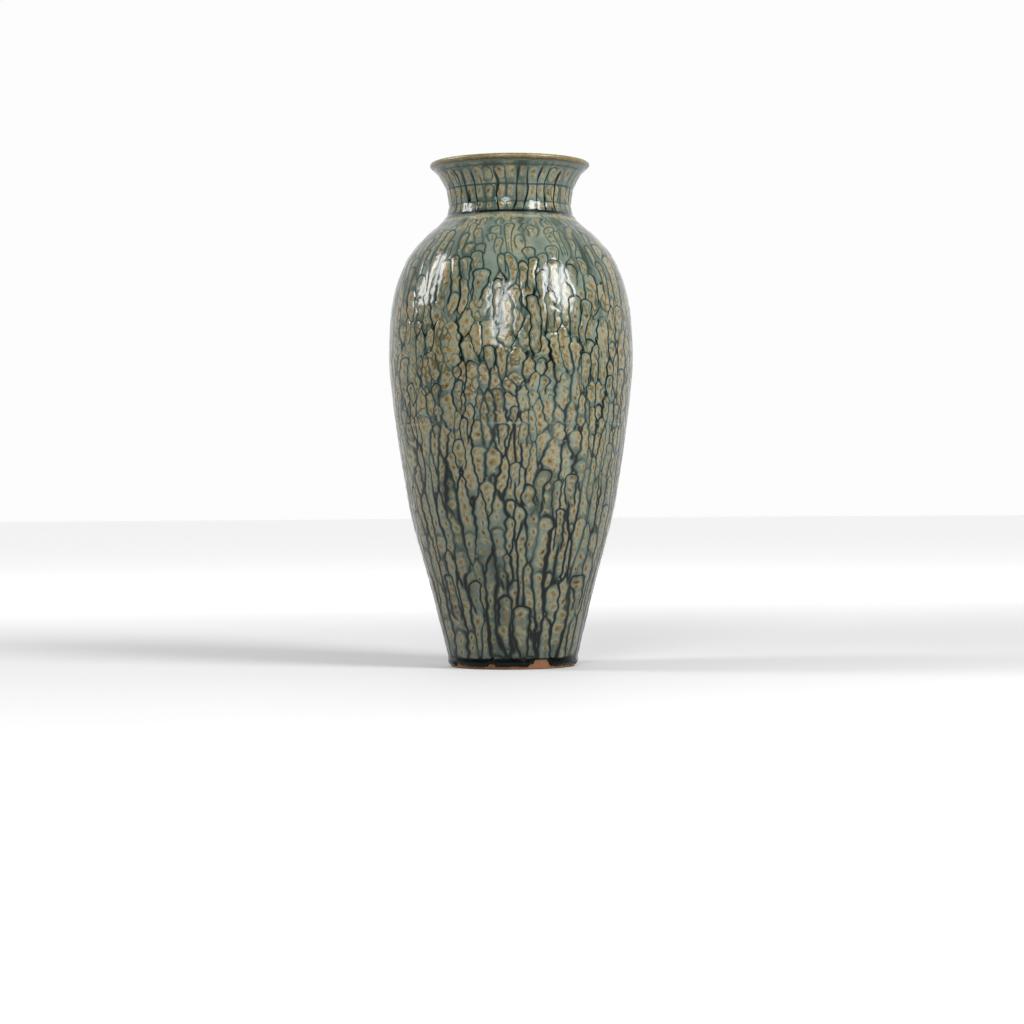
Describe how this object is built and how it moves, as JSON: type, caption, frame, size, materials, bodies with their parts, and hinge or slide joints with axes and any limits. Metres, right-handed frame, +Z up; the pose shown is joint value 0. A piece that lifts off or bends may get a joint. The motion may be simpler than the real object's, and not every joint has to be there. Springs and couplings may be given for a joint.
{
  "type": "vase",
  "caption": "Tall baluster vase with a waisted neck and a flared lip, thrown in stoneware sections and covered in a thick mottled crackle-cell glaze.",
  "frame": {"origin": "centre of the foot ring's resting face, on the vase's axis", "axes": "+Z up along the vase's axis of turning; +X and +Y are alike, and -Y faces the viewer"},
  "size_m": [0.228, 0.228, 0.47],
  "materials": {
    "bare_clay": "bare fired clay, matte, orange-buff",
    "joint_slip": "fired slip, matte",
    "inner_glaze": "glossy grey-green glaze",
    "body_glaze": "glossy blue-green glaze in tapered cells with dark lines and ochre spots",
    "collar_glaze": "glossy blue-green glaze with dark vertical lines and throwing rings",
    "rim_ochre": "glossy ochre iron glaze, specked",
    "roll_glaze": "very dark blue-green pooled glaze, glossy"
  },
  "bodies": {
    "root": {"foot_ring": "bare_clay", "base_disc": "bare_clay", "base_slip_joint": "joint_slip", "lower_wall": "bare_clay", "belly_slip_joint": "joint_slip", "upper_wall": "bare_clay", "neck_slip_joint": "joint_slip", "neck_collar": "bare_clay", "liner_glaze": "inner_glaze", "foot_glaze_roll": "roll_glaze", "lower_glaze": "body_glaze", "upper_glaze": "body_glaze", "neck_glaze": "collar_glaze", "rim_glaze": "rim_ochre"}
  },
  "joints": []
}
